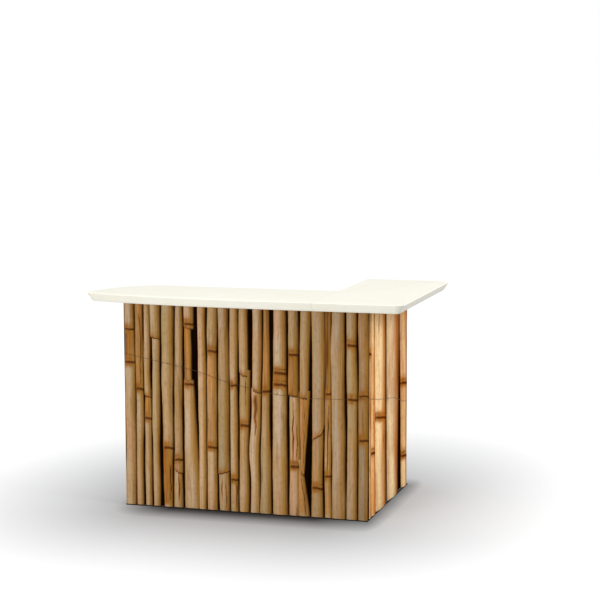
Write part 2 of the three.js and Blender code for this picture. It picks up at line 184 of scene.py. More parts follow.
bpy.ops.object.select_all(action="DESELECT")
bpy.ops.mesh.primitive_plane_add(size=FLOOR_SIZE, location=(0, 0, 0))
floor = bpy.context.object
floor.name = "studio_floor"
floor_paint, tree, shader = new_material("studio_floor")
shader.inputs["Roughness"].default_value = 0.9
shader.inputs["Specular IOR Level"].default_value = 0.1
shader.inputs["Emission Color"].default_value = (1, 1, 1, 1)
place = parts_of(tree, own_place(tree))
faded = reckon(tree, "POWER", spread(tree, past_edges(tree, place, SHADOW_ENDS), 0.0, FADE_OVER), FADE_POWER)
# Painted shadow: the floor's paint is darker near the bar, and nearly black at its foot.
paint = mixed(tree, faded, linear(172, 174, 177), linear(190, 190, 190))
foot_shade = spread(tree, past_edges(tree, place, FOOT_EDGES), FOOT_FROM, FOOT_TO, FOOT_SHADE, 1.0)
tree.links.new(mixed(tree, foot_shade, linear(0, 0, 0), paint), shader.inputs["Base Color"])
glow = reckon(tree, "MULTIPLY", seen_directly(tree), spread(tree, faded, 0.0, 1.0, 0.0, WHITE_GLOW))
tree.links.new(glow, shader.inputs["Emission Strength"])
floor.data.materials.append(floor_paint)

# The studio's dome is white wherever it is seen, and lights the bar with a little over half of that.
SKY_LEVEL = 0.57
world = bpy.data.worlds.new("studio")
bpy.context.scene.world = world
world.use_nodes = True
tree = world.node_tree
background = tree.nodes["Background"]
background.inputs["Color"].default_value = (1, 1, 1, 1)
tree.links.new(spread(tree, seen_directly(tree), 0.0, 1.0, SKY_LEVEL, 1.0), background.inputs["Strength"])


# Three soft lamps: a large one low in front, to the left, a faint one overhead for the counter top, and a
# strong one, high and far off on the right, for the side wall.
def softbox(name, place, aim, width, height, watts):
    lamp = bpy.data.lights.new(name, "AREA")
    lamp.shape = "RECTANGLE"
    lamp.size = width
    lamp.size_y = height
    lamp.energy = watts
    box = bpy.data.objects.new(name, lamp)
    box.location = place
    box.rotation_euler = (Vector(aim) - Vector(place)).to_track_quat("-Z", "Y").to_euler()
    box.visible_camera = False
    bpy.context.scene.collection.objects.link(box)


BAR_MIDDLE = (0, 0, 0.55)
softbox("key", (-2.5, -6.2, 1.30), BAR_MIDDLE, 3.0, 1.8, 218)
softbox("top", (-1.0, 0, 4.5), BAR_MIDDLE, 4.0, 4.0, 31)
softbox("side", (9.0, -0.6, 5.0), BAR_MIDDLE, 5.0, 5.0, 520)


# The frame is square steel tube with a dark brown powder coat, and the shelves' angle runners are riveted to
# it. Each tube is a rounded copy of its solid, because a drawn tube has soft corners that catch the light.
def pick_only(piece):
    """Selects one piece and makes it the one that the next operator works on."""
    bpy.ops.object.select_all(action="DESELECT")
    piece.select_set(True)
    bpy.context.view_layer.objects.active = piece


def rounded_copy(node, radius, segments=2):
    """A copy of a CAD node with merged corners and softened edges, which then stands for it."""
    piece = frame["nodes"][node].copy()
    piece.data = frame["nodes"][node].data.copy()
    piece.name = node + "_finished"
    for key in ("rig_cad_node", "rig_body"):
        del piece[key]
    piece.parent = None
    bpy.context.scene.collection.objects.link(piece)
    shape = bmesh.new()
    shape.from_mesh(piece.data)
    bmesh.ops.remove_doubles(shape, verts=shape.verts, dist=1e-5)
    bmesh.ops.dissolve_limit(shape, angle_limit=math.radians(1), verts=shape.verts, edges=shape.edges)
    shape.to_mesh(piece.data)
    shape.free()
    edge = piece.modifiers.new("soft_edges", "BEVEL")
    edge.width = radius
    edge.segments = segments
    edge.limit_method = "ANGLE"
    edge.angle_limit = math.radians(40)
    pick_only(piece)
    bpy.ops.object.modifier_apply(modifier=edge.name)
    bpy.ops.object.shade_smooth_by_angle(angle=math.radians(35))
    piece.data.materials.clear()
    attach(piece, frame["nodes"][node]["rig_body"])
    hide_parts(node)
    return piece


def noise_at(tree, place, scale, detail, stretch=(1, 1, 1), distortion=0.0):
    """Noise by place, drawn out along an axis where that axis' factor is small."""
    mapping = tree.nodes.new("ShaderNodeMapping")
    mapping.inputs["Scale"].default_value = stretch
    tree.links.new(place, mapping.inputs["Vector"])
    grain = tree.nodes.new("ShaderNodeTexNoise")
    grain.inputs["Scale"].default_value = scale
    grain.inputs["Detail"].default_value = detail
    grain.inputs["Distortion"].default_value = distortion
    tree.links.new(mapping.outputs["Vector"], grain.inputs["Vector"])
    return grain.outputs["Fac"]


def own_noise(tree, *settings, **more):
    """Noise in the piece's own frame."""
    return noise_at(tree, own_place(tree), *settings, **more)


def bump(tree, shader, height, strength, distance, under=None):
    """A bump of the given height in metres, laid over another one where that is given."""
    node = tree.nodes.new("ShaderNodeBump")
    node.inputs["Strength"].default_value = strength
    node.inputs["Distance"].default_value = distance
    tree.links.new(height, node.inputs["Height"])
    if under is not None:
        tree.links.new(under, node.inputs["Normal"])
    tree.links.new(node.outputs["Normal"], shader.inputs["Normal"])
    return node.outputs["Normal"]


def cloudy_finish(name, dark, light, clouds, gloss, roughness, cloud_range=(0.35, 0.65)):
    """A finish that wavers between two shades and two roughnesses; clouds and gloss are noise settings."""
    material, tree, shader = new_material(name)
    shade = spread(tree, own_noise(tree, *clouds), *cloud_range)
    tree.links.new(mixed(tree, shade, dark, light), shader.inputs["Base Color"])
    tree.links.new(spread(tree, own_noise(tree, *gloss), 0.3, 0.7, *roughness), shader.inputs["Roughness"])
    return material, tree, shader


frame_paint, tree, shader = cloudy_finish(
    "frame_powder_coat", linear(46, 38, 31), linear(60, 51, 43), (9, 4), (30, 3), (0.36, 0.52)
)
shader.inputs["Coat Weight"].default_value = 0.15
bump(tree, shader, own_noise(tree, 900, 2), 0.25, 0.0004)

TUBE_CORNER = 0.0009
for name in sorted(frame["nodes"]):
    if name.startswith(("post_", "rail_", "runner_")):
        tube = rounded_copy(name, TUBE_CORNER)
        tube.data.materials.append(frame_paint)

# The feet are black nylon discs moulded round a threaded stem, which goes up through the plate that closes
# its post's end and stays inside the post.
FOOT_CORNER = 0.0006
foot_plastic, tree, shader = cloudy_finish(
    "foot_nylon", linear(24, 24, 25), linear(42, 41, 40), (40, 4), (120, 3), (0.45, 0.65)
)
bump(tree, shader, own_noise(tree, 1400, 2), 0.3, 0.0003)
for name in sorted(frame["nodes"]):
    if name.startswith("foot_"):
        foot = rounded_copy(name, FOOT_CORNER)
        foot.data.materials.append(foot_plastic)

# Shelves and decks are sealed birch plywood, sanded at the edges, where the plies show. The shelves lie
# loose on the runners and the decks on the bottom rails.
BOARD_CORNER = 0.0012
# A ply's thickness, and where across it the colour goes over to that of the next.
PLY, GOES_FROM, GOES_TO = 0.0012, 0.0004, 0.0007
plywood, tree, shader = new_material("shelf_plywood")
grain = own_noise(tree, 14, 6, (1, 9, 9), distortion=0.6)
fine = own_noise(tree, 160, 4, (0.12, 1, 1))
face = mixed(tree, spread(tree, grain, 0.3, 0.7), linear(206, 176, 132), linear(178, 142, 98))
face = mixed(tree, spread(tree, fine, 0.52, 0.72, 0, 0.45), face, linear(140, 104, 66))
height_in_ply = reckon(tree, "PINGPONG", parts_of(tree, own_place(tree))["Z"], PLY)
next_ply = spread(tree, height_in_ply, GOES_FROM, GOES_TO)
plies = mixed(tree, next_ply, linear(196, 160, 112), linear(132, 94, 58))
facing = parts_of(tree, tree.nodes.new("ShaderNodeNewGeometry").outputs["Normal"])
level = spread(tree, reckon(tree, "ABSOLUTE", facing["Z"]), 0.4, 0.6)
tree.links.new(mixed(tree, level, plies, face), shader.inputs["Base Color"])
tree.links.new(spread(tree, grain, 0.3, 0.7, 0.42, 0.58), shader.inputs["Roughness"])
bump(tree, shader, fine, 0.15, 0.0006)
for name in sorted(frame["nodes"]):
    if name.startswith(("shelf_", "deck_")):
        board = rounded_copy(name, BOARD_CORNER, 3)
        board.data.materials.append(plywood)

# Each wall's cladding is a dark stained board with bamboo canes split in half and bonded to it. A cane
# is a half-round grown from a flat strip: swollen at its rings, a little crooked, sometimes broken or split.
CANE_DEPTH, BOARD_DEPTH = 0.014, 0.006
# A cane's crest stays under the full depth, so that its rings and lumps have room to stand out. Its edges
# reach a little under its neighbours' and into the board, and none comes past the wall's ends.
CREST_CLEAR, SKIN_CLEAR, INTO_BOARD, REACH_UNDER, END_CLEAR = 0.0016, 0.0001, 0.0004, 0.0011, 0.0003
NARROW_CANE, NARROW_ROUND, WIDE_ROUND = 0.09, 0.40, 0.55
# The strip's cross rows: even steps, closer round a ring and at a broken end.
ACROSS_STEPS, LEVEL_STEP = 18, 0.020
RINGS_AT = (
    -0.026, -0.018, -0.012, -0.008, -0.005, -0.0025, 0.0, 0.002, 0.004, 0.007, 0.011, 0.016, 0.024, 0.034,
)
NO_STEPS_BELOW, NO_STEPS_ABOVE = 0.03, 0.04
BROKEN_AT = (0.003, 0.006, 0.010, 0.016)
# A broken end slants, curls up most on its high side, and is dark, with a reddened stretch above.
TORN_OVER, TORN_ROUGH, SLANTED, CURLED = 0.12, 0.007, 0.3, 0.7
END_DARK, END_DARK_REACH, END_RED_REACH = 1.3, 0.0055, 0.025
# How far a cane strays to the side, over short and long stretches, and how uneven its width and face are.
STRAY_SHORT, STRAY_LONG, UNEVEN, ROUGH_SIDE, LUMPS = 0.0034, 0.0044, 0.0030, 0.0009, 0.0011
BEND_OVER = 0.10
# A ring is a little askew, bowed and wavy. The cane widens and stands out there, with a nick at the ring.
RING_SKEW, RING_BOW, RING_WAVE, RING_WIDENS, RING_STANDS = 0.0022, 0.0020, 0.0028, 0.035, 0.0013
# In millimetres above the ring: the swelling and its nick, the ring's dark line, a fainter line farther up,
# and the reddened wood above and below.
SWELL_REACH, NICK_AT, NICK_REACH, NICK_DEPTH = 9, 1.5, 2.0, 0.8
LINE_AT, LINE_REACH, LINE_VARIES = -1, 7.5, 4
UPPER_AT, UPPER_REACH, UPPER_DARK = 19, 4, 0.40
UPPER_RED_AT, UPPER_RED_REACH, UPPER_RED = 10, 20, 1.5
LOWER_RED_AT, LOWER_RED_REACH, LOWER_RED = -13, 13, 0.8
# A split fades out at its ends, and its line sways and jags by shares of the cane's half width.
SPLIT_DEPTH, SPLIT_TAPER, SPLIT_SWAYS, SPLIT_JAGS, SPLIT_VARIES = 0.0055, 0.03, 0.34, 0.22, 1.1
THINNEST_SPLIT, WIDE_SPLIT, WIDE_OPENS = 0.03, 0.15, 0.85
AMBER_FADE = 0.012
wall_low, wall_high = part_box("cladding_front")
WALL_BASE, WALL_TOP = wall_low.z, wall_high.z
WALL_HEIGHT = WALL_TOP - WALL_BASE


def height_of(share):
    """The height of a place on a wall, from its share of the wall's height."""
    return WALL_BASE + share * WALL_HEIGHT


def bell(away, reach):
    """1 where away is 0, and less and less beyond the reach on both sides."""
    return math.exp(-((away / reach) ** 2))


def wander(x, y, z):
    """Smooth noise, about -1 to 1, that belongs to a place."""
    return noise.noise(Vector((x, y, z)))


def row_heights(low, high, rings, broken):
    """The heights of the strip's cross rows."""
    steps = max(2, round((high - low) / LEVEL_STEP))
    levels = {round(low + (high - low) * at / steps, 5) for at in range(steps + 1)}
    if broken:
        levels |= {round(low + step, 5) for step in BROKEN_AT}
    ends = (round(low, 5), round(high, 5))
    for ring in rings:
        near = {round(ring + step, 5) for step in RINGS_AT if low < ring + step < high}
        levels = {z for z in levels if not -NO_STEPS_BELOW < z - ring < NO_STEPS_ABOVE or z in ends} | near
    return sorted(levels)


def torn_end(slant, across, seed):
    """How far a broken lower end stands above its row at a place across the cane."""
    upward = math.copysign(1, slant) * across
    torn = abs(slant) * (SLANTED * upward + CURLED * max(0.0, upward) ** 3)
    return torn + TORN_ROUGH * wander(across * 5, seed, 0)


def ring_marks(rings, z, across, half, seed, lean):
    """How far a cane swells at a point, how dark its ring lines make it, and how much they redden it."""
    swell, dark, blush = 0.0, 0.0, 0.0
    for ring in rings:
        own = wander(ring * 37.0, seed * 2.3, 3.3)
        bend = RING_SKEW * across * math.sin(seed * 9) - RING_BOW * across * across
        bend += RING_WAVE * wander(across * 2.6, seed * 1.9, ring * 11.0)
        # Millimetres above the ring's own line.
        above = (z - ring - lean * across * half - bend) / 0.001
        swell += bell(above, SWELL_REACH) - NICK_DEPTH * bell(above - NICK_AT, NICK_REACH)
        dark += bell(above - LINE_AT, LINE_REACH + LINE_VARIES * own)
        dark += (UPPER_DARK + own) * bell(above - UPPER_AT, UPPER_REACH)
        upper_red = (UPPER_RED + own) * bell(above - UPPER_RED_AT, UPPER_RED_REACH)
        blush += upper_red + LOWER_RED * bell(above - LOWER_RED_AT, LOWER_RED_REACH)
    return swell, dark, blush


def split_open(splits, z, across, seed):
    """How far the splits open a cane at a point, from 0 to 1."""
    cut = 0.0
    for at, low, high, wide in splits:
        if low < z < high:
            taper = min(1.0, (z - low) / SPLIT_TAPER, (high - z) / SPLIT_TAPER)
            line = at + SPLIT_SWAYS * wander(z * 7.0, seed + at, 9.1)
            line += SPLIT_JAGS * wander(z * 22.0, seed + at, 5.1)
            gape = max(THINNEST_SPLIT, wide * (1.0 + SPLIT_VARIES * wander(z * 13.0, seed + at, 6.4)))
            open_by = taper * (WIDE_OPENS if wide > WIDE_SPLIT else 1.0)
            cut = max(cut, open_by * bell(across - line, gape))
    return cut


def amber_at(ambers, z):
    """How amber a cane is at a height."""
    amber = 0.0
    for low, high, weight in ambers:
        inside = min((z - low) / AMBER_FADE, (high - z) / AMBER_FADE)
        amber = max(amber, weight * max(0.0, min(1.0, inside)))
    return amber


def grow_cane(edges, span, slant, rings, tone, ambers, splits, set_back, width, seed, lean):
    """One cane of a wall that stands along X with its face to -Y. edges are its left and right side at the
    wall's top and bottom, as shares of the wall's width, and for a bent cane the height of its bend and how
    far that moves the left and the right side; heights are shares of the wall's height."""
    left_top, right_top, left_bottom, right_bottom, *bend_at = edges
    low, high = map(height_of, span)
    rings = [height_of(share) for share in rings]
    ambers = [(height_of(bottom), height_of(top), weight) for bottom, top, weight in ambers]
    splits = [(at, height_of(bottom), height_of(top), wide) for at, bottom, top, wide in splits]
    levels = row_heights(low, high, rings, slant)
    bpy.ops.mesh.primitive_grid_add(
        x_subdivisions=ACROSS_STEPS, y_subdivisions=len(levels) - 1, size=2
    )
    strip = bpy.context.object
    mesh = strip.data
    kinds = ("across", "tone", "amber", "ring", "blush", "split", "shade", "seed")
    paint = {kind: [] for kind in kinds}
    shade = wander(seed * 7.7, 1.3, 0.2) * 1.6
    for vertex in mesh.vertices:
        across = max(-1.0, min(1.0, vertex.co.x))
        level = levels[round((vertex.co.y + 1) / 2 * (len(levels) - 1))]
        z = level
        if slant:
            z += torn_end(slant, across, seed) * max(0.0, 1 - (level - low) / TORN_OVER)
        rise = (z - WALL_BASE) / WALL_HEIGHT
        left = (left_bottom + (left_top - left_bottom) * rise) * width
        right = (right_bottom + (right_top - right_bottom) * rise) * width
        if bend_at:
            bent = bell(rise - bend_at[0], BEND_OVER) * width
            left, right = left + bend_at[1] * bent, right + bend_at[2] * bent
        swell, dark, blush = ring_marks(rings, z, across, (right - left) / 2, seed, lean)
        if slant:
            dark += END_DARK * bell(level - low, END_DARK_REACH)
            blush += bell(level - low, END_RED_REACH)
        cut = split_open(splits, z, across, seed)
        stray = STRAY_SHORT * wander(seed * 3.1, z * 4.0, 0.5)
        stray += STRAY_LONG * wander(seed * 5.3, z * 1.3, 2.5)
        half = (right - left) / 2 * (1.0 + RING_WIDENS * swell) + REACH_UNDER
        half += UNEVEN * wander(seed * 1.7, z * 7.0, 4.2)
        half += ROUGH_SIDE * wander(seed * 2.9 + across, z * 28.0, 1.2)
        beside = max(END_CLEAR, min(width - END_CLEAR, (left + right) / 2 + stray + across * half))
        power = NARROW_ROUND if right - left < NARROW_CANE else WIDE_ROUND
        roundness = max(0.0, 1 - across * across) ** power
        relief = (CANE_DEPTH - CREST_CLEAR - set_back) * roundness
        relief += RING_STANDS * swell * roundness
        relief += LUMPS * wander(across * 1.8 + seed, z * 9.0, 7.7) * roundness
        relief = min(relief, CANE_DEPTH - SKIN_CLEAR) - SPLIT_DEPTH * cut
        vertex.co = Vector((beside, CANE_DEPTH - relief, z))
        marks = (across, tone, amber_at(ambers, z), min(1.0, dark), min(1.0, blush), cut, shade, seed % 7)
        for kind, value in zip(kinds, marks):
            paint[kind].append(value)
    for kind in kinds:
        mesh.attributes.new(kind, "FLOAT", "POINT").data.foreach_set("value", paint[kind])
    bpy.ops.object.mode_set(mode="EDIT")
    bpy.ops.mesh.select_all(action="DESELECT")
    bpy.ops.mesh.select_non_manifold()
    bpy.ops.mesh.extrude_region_move()
    shape = bmesh.from_edit_mesh(mesh)
    for vertex in shape.verts:
        if vertex.select:
            vertex.co.y = CANE_DEPTH + INTO_BOARD
    bpy.ops.mesh.edge_face_add()
    bpy.ops.mesh.select_all(action="SELECT")
    bpy.ops.mesh.normals_make_consistent(inside=False)
    bpy.ops.object.mode_set(mode="OBJECT")
    strip.select_set(False)
    return strip


def join_all(pieces):
    """Joins pieces into the first one."""
    bpy.ops.object.select_all(action="DESELECT")
    for piece in pieces:
        piece.select_set(True)
    bpy.context.view_layer.objects.active = pieces[0]
    bpy.ops.object.join()
    return bpy.context.object


def attribute(tree, name):
    """A number that the mesh carries at each of its points or faces."""
    node = tree.nodes.new("ShaderNodeAttribute")
    node.attribute_name = name
    return node.outputs["Fac"]


# Dried bamboo: greyish tan where it was weathered, amber between some rings, with dark rings, long fibres,
# water stains and short cracks. Painted shade runs across each cane: golden, then dark towards one side,
# and dark at both edges, and it greys the front's rightmost canes. The side wall's canes are paler and
# warmer, which is painted light.
PINK, OLIVE = linear(194, 138, 106), linear(158, 138, 90)
# The second colour below is painted shade at the canes' right edges.
LIGHT_FIBRE, PAINTED_EDGE_SHADE = linear(216, 190, 150), linear(50, 20, 2)
CRACK, SPLIT_INSIDE = linear(44, 21, 5), linear(46, 24, 9)
# The noise's place along X and Z moves on by this much a cane, so that no two have the same grain.
NEXT_CANE = (0.31, 0, 0.83)


def bamboo(name, pale, tan, grey, golden, amber, deep, ring, shaded_side_at, sheen, edges, left_edge_shade):
    """The canes' finish, with painted shade across each cane. The last four arguments are where across a
    cane its golden, shaded side starts, its sheen, how dark the painted shade at its two edges is, and how
    golden the painted shade at its left edge is."""
    material, tree, shader = new_material(name)
    across, seed = attribute(tree, "across"), attribute(tree, "seed")
    both = tree.nodes.new("ShaderNodeCombineXYZ")
    tree.links.new(seed, both.inputs["X"])
    tree.links.new(seed, both.inputs["Z"])
    place = tree.nodes.new("ShaderNodeVectorMath")
    place.operation = "MULTIPLY_ADD"
    tree.links.new(both.outputs[0], place.inputs[0])
    place.inputs[1].default_value = NEXT_CANE
    tree.links.new(own_place(tree), place.inputs[2])

    def grown(*settings):
        """Noise that runs along a cane and starts afresh on the next."""
        return noise_at(tree, place.outputs[0], *settings)

    def ragged(mask, factor, *settings):
        """A mask with noise added, which frays its outline."""
        return reckon(tree, "MULTIPLY_ADD", grown(*settings), factor, mask)

    def coat(mask, nothing_at, full_at, strength, colour):
        """Lays a colour on the wood, from nothing where the mask has one value to its strength at another."""
        nonlocal wood
        wood = mixed(tree, spread(tree, mask, nothing_at, full_at, 0, strength), wood, colour)

    # Weathering: each cane's own tone, and stains that run along it. Grey tones below 0 are weathering, and
    # on the front's rightmost canes painted shade as well.
    tone = attribute(tree, "tone")
    wood = mixed(tree, spread(tree, tone, 0.0, 1.0), pale, tan)
    coat(tone, 0.0, -1.0, 1.0, grey)
    stain = grown(8, 5, (1, 1, 0.30), 0.8)
    coat(stain, 0.45, 0.70, 0.50, golden)
    coat(grown(3.4, 3, (1, 1, 0.5)), 0.50, 0.66, 0.55, PINK)
    coat(grown(2.6, 3, (1, 1, 0.4)), 0.51, 0.68, 0.60, OLIVE)

    # Amber stretches, the blush beside the rings, and the golden side, which is painted shade.
    streaks = grown(46, 5, (1, 1, 0.07), 0.6)
    amber_wood = mixed(tree, spread(tree, streaks, 0.44, 0.66, 0, 0.75), amber, deep)
    amber_wood = mixed(tree, spread(tree, grown(30, 3, (1, 1, 0.2)), 0.55, 0.70, 0, 0.3), amber_wood, tan)
    coat(attribute(tree, "amber"), 0.0, 1.0, 1.0, amber_wood)
    coat(attribute(tree, "amber"), 1.0, 2.0, 0.9, deep)
    blush = ragged(attribute(tree, "blush"), 0.7, 60, 4, (1, 1, 0.5))
    coat(blush, 0.40, 1.30, 0.92, mixed(tree, 0.50, amber, deep))
    # Painted shade: past a point across the cane, its side goes golden.
    side = ragged(across, 0.9, 11, 3, (1, 1, 0.22))
    coat(side, shaded_side_at + 0.35, shaded_side_at + 0.90, 0.85, golden)

    # Fibres and strands along the cane, mottling, specks and smudges.
    fibres = grown(420, 5, (1, 1, 0.016))
    coat(fibres, 0.52, 0.78, 0.40, deep)
    strands = grown(135, 4, (1, 1, 0.030))
    coat(strands, 0.52, 0.74, 0.60, golden)
    coat(strands, 0.44, 0.30, 0.35, pale)
    coat(grown(75, 4, (1, 1, 0.55)), 0.50, 0.72, 0.32, mixed(tree, 0.5, golden, deep))
    coat(grown(260, 3, (1, 1, 0.02)), 0.55, 0.80, 0.30, LIGHT_FIBRE)
    coat(grown(150, 3, (1, 1, 0.35)), 0.66, 0.76, 0.65, deep)
    coat(grown(26, 4, (1, 1, 0.14), 0.5), 0.60, 0.74, 0.45, deep)

    # Ring lines, painted shade at the cane's edges, cracks and splits.
    ring_line = ragged(attribute(tree, "ring"), 0.5, 110, 3, (1, 1, 0.8))
    coat(ring_line, 0.40, 1.15, 1.0, mixed(tree, spread(tree, grown(160, 3), 0.35, 0.65), ring, deep))
    # Painted shade at the edges: dark on the shaded side, golden then dark at the left edge, darkest at the
    # right.
    coat(side, shaded_side_at + 1.05, shaded_side_at + 1.50, edges, deep)
    coat(across, -0.60, -0.98, left_edge_shade, golden)
    coat(across, -0.88, -0.99, left_edge_shade, deep)
    coat(across, 0.86, 0.99, edges, PAINTED_EDGE_SHADE)
    crack = grown(60, 4, (1, 1, 0.05), 1.4)
    coat(crack, 0.735, 0.765, 1.0, CRACK)
    split = reckon(tree, "MULTIPLY_ADD", streaks, 0.3, attribute(tree, "split"))
    coat(split, 0.25, 0.60, 0.75, mixed(tree, 0.35, amber, deep))
    coat(split, 0.55, 1.05, 0.95, SPLIT_INSIDE)

    # Each cane is a little lighter or darker, and darker where it turns away from the light.
    own_shade = spread(tree, attribute(tree, "shade"), -1.0, 1.0, 0.86, 1.12)
    turned_away = spread(tree, across, 0.0, 1.0, 1.0, 1.0 - edges * 0.55)
    lift = tree.nodes.new("ShaderNodeHueSaturation")
    tree.links.new(reckon(tree, "MULTIPLY", own_shade, turned_away), lift.inputs["Value"])
    tree.links.new(wood, lift.inputs["Color"])
    tree.links.new(lift.outputs[0], shader.inputs["Base Color"])
    tree.links.new(spread(tree, stain, 0.3, 0.7, 0.46, 0.66), shader.inputs["Roughness"])
    shader.inputs["Specular IOR Level"].default_value = sheen
    fibrous = bump(tree, shader, fibres, 0.35, 0.0006)
    uneven = bump(tree, shader, grown(90, 3, (1, 1, 0.3)), 0.25, 0.0012, fibrous)
    bump(tree, shader, spread(tree, crack, 0.735, 0.765, 1, 0), 0.6, 0.0010, uneven)
    return material


front_bamboo = bamboo(
    "bamboo_front",
    pale=linear(190, 166, 138), tan=linear(184, 153, 112), grey=linear(140, 118, 93),
    golden=linear(167, 118, 40), amber=linear(189, 117, 28), deep=linear(84, 37, 3),
    ring=linear(90, 51, 12), shaded_side_at=0.02, sheen=0.05, edges=0.72, left_edge_shade=0.7,
)
# The side wall's finish is a paler, warmer copy of the front's: painted light that brightens that wall.
lit_side_bamboo = bamboo(
    "bamboo_side_painted_light",
    pale=linear(255, 228, 178), tan=linear(255, 208, 140), grey=linear(196, 160, 120),
    golden=linear(196, 112, 26), amber=linear(222, 138, 40), deep=linear(90, 34, 1),
    ring=linear(92, 42, 4), shaded_side_at=-0.24, sheen=0.0, edges=1.0, left_edge_shade=0.2,
)

# One cane to a row: its edges at top and bottom, with a bend where it has one; its span; the slant of a
# broken lower end in metres; its rings; its tone, from -1 grey over 0 pale to 1 tan; amber stretches with
# their strength; splits, each by its place across, its span and its width; and how far it is set back.
FRONT_CANES = [
    ((0.001, 0.044, 0.001, 0.046), (0, 1), 0, (0.70, 0.86), 0.40, ((0.70, 0.86, 1.45),), (), 0),
    ((0.050, 0.084, 0.051, 0.081), (0, 1), 0, (0.57,), 0.75, ((0.57, 1.1, 0.6),),
     ((0.3, 0.58, 0.95, 0.10),), 0.002),
    ((0.087, 0.112, 0.084, 0.116), (0.53, 1), -0.014, (), 0.35, (), (), 0),
    ((0.088, 0.112, 0.085, 0.116), (0, 0.57), 0, (0.43,), 0.70, ((0.43, 0.57, 0.9),), (), 0.003),
    ((0.118, 0.152, 0.121, 0.152), (0, 0.835), 0, (), 0.30, (), (), 0.003),
    ((0.159, 0.216, 0.163, 0.200), (0, 1), 0, (0.29,), 0.40, ((0.0, 0.29, 1.45),),
     ((0.45, 0.01, 0.22, 0.12),), 0),
    ((0.220, 0.251, 0.206, 0.243), (0.17, 1), -0.018, (0.235,), 0.55, (), (), 0.001),
    ((0.209, 0.243, 0.204, 0.242), (0, 0.21), 0, (), 0.50, (), ((0.1, 0.02, 0.17, 0.09),), 0.004),
    ((0.254, 0.297, 0.256, 0.297), (0.87, 1), -0.010, (0.895,), 0.30, (), (), 0),
    ((0.254, 0.283, 0.254, 0.287), (0.59, 0.90), 0, (), 0.30, ((0.58, 0.92, 0.85),), (), 0.003),
    ((0.252, 0.273, 0.250, 0.325), (0, 0.625), 0, (0.605,), 0.25, (), (), 0.002),
    ((0.310, 0.344, 0.312, 0.344), (0, 1), 0, (), 0.60, (), (), 0),
    ((0.348, 0.391, 0.347, 0.388), (0, 1), 0, (0.305, 0.77), 0.45, ((0.30, 0.77, 0.55),), (), 0),
    ((0.394, 0.440, 0.392, 0.441), (0.18, 1), 0.016, (), 0.15, (), (), 0),
    ((0.397, 0.436, 0.394, 0.441), (0, 0.22), 0, (), 0.55, (),
     ((-0.45, 0.0, 0.17, 0.07), (0.25, 0.0, 0.15, 0.06)), 0.004),
    ((0.443, 0.478, 0.444, 0.475), (0, 1), 0, (0.155, 0.61), 0.60, (), ((0.5, 0.0, 0.15, 0.08),), 0.001),
    ((0.481, 0.518, 0.481, 0.522), (0.655, 1), -0.022, (), 0.35, (), (), 0),
    ((0.483, 0.529, 0.479, 0.521, 0.29, 0, -0.006), (0, 0.685), 0, (0.42,), 0.40, (),
     ((0.25, 0.50, 0.66, 0.06),), 0.003),
    ((0.536, 0.578, 0.524, 0.561), (0.58, 1), -0.010, (), 0.30, (), (), 0),
    ((0.533, 0.576, 0.526, 0.563, 0.29, -0.008, -0.004), (0, 0.60), 0, (), 0.25, (),
     ((-0.15, 0.36, 0.585, 0.34),), 0.002),
    ((0.581, 0.602, 0.564, 0.612), (0, 1), 0, (0.59,), 0.80, ((0.59, 1.1, 0.7),), (), 0.002),
    ((0.621, 0.673, 0.616, 0.680), (0, 1), 0, (0.625, 0.68), -0.10, ((0.625, 0.68, 0.5),), (), 0),
    ((0.678, 0.721, 0.680, 0.721), (0.57, 1), -0.010, (0.77,), 0.45, ((0.56, 0.77, 0.85),), (), 0),
    ((0.681, 0.725, 0.683, 0.726), (0, 0.59), 0, (0.235,), 0.30, (),
     ((-0.35, 0.24, 0.57, 0.10), (0.25, 0.26, 0.50, 0.05)), 0.004),
    ((0.727, 0.770, 0.727, 0.751), (0.56, 1), -0.006, (), 0.40, (), (), 0),
    ((0.723, 0.796, 0.731, 0.730), (0.20, 0.60), -0.030, (), 0.60, ((0.18, 0.60, 0.7),),
     ((0.2, 0.22, 0.52, 0.07),), 0.002),
    ((0.720, 0.654, 0.716, 0.765), (0, 0.27), 0, (), 0.60, ((0.0, 0.27, 0.6),),
     ((0.1, 0.0, 0.2, 0.06),), 0.005),
    # The grey tones below 0 on the rightmost canes are weathering and painted shade.
    ((0.776, 0.829, 0.776, 0.826), (0.385, 1), 0.075, (), -0.55, (), (), 0),
    ((0.779, 0.815, 0.772, 0.819), (0, 0.46), 0, (0.14,), 0.70, ((0.14, 0.46, 0.35),), (), 0.005),
    ((0.829, 0.852, 0.823, 0.851), (0, 1), 0, (0.20, 0.59), 0.75, ((0.0, 0.59, 0.5), (0.59, 1.1, 1.95)),
     ((0.0, 0.20, 0.55, 0.14),), 0.006),
    ((0.855, 0.908, 0.854, 0.910, 0.80, -0.003, 0), (0, 1), 0, (), -0.40, (), (), 0),
    ((0.911, 0.952, 0.914, 0.957), (0, 1), 0, (0.57, 0.825), -0.45, (), (), 0.001),
    ((0.956, 0.999, 0.960, 0.999), (0, 1), 0, (0.38, 0.59), -0.75, ((0.38, 1.1, 0.35),), (), 0),
    ((0.112, 0.157, 0.109, 0.158), (0.815, 1), -0.009, (), 0.25, (), (), 0),
]
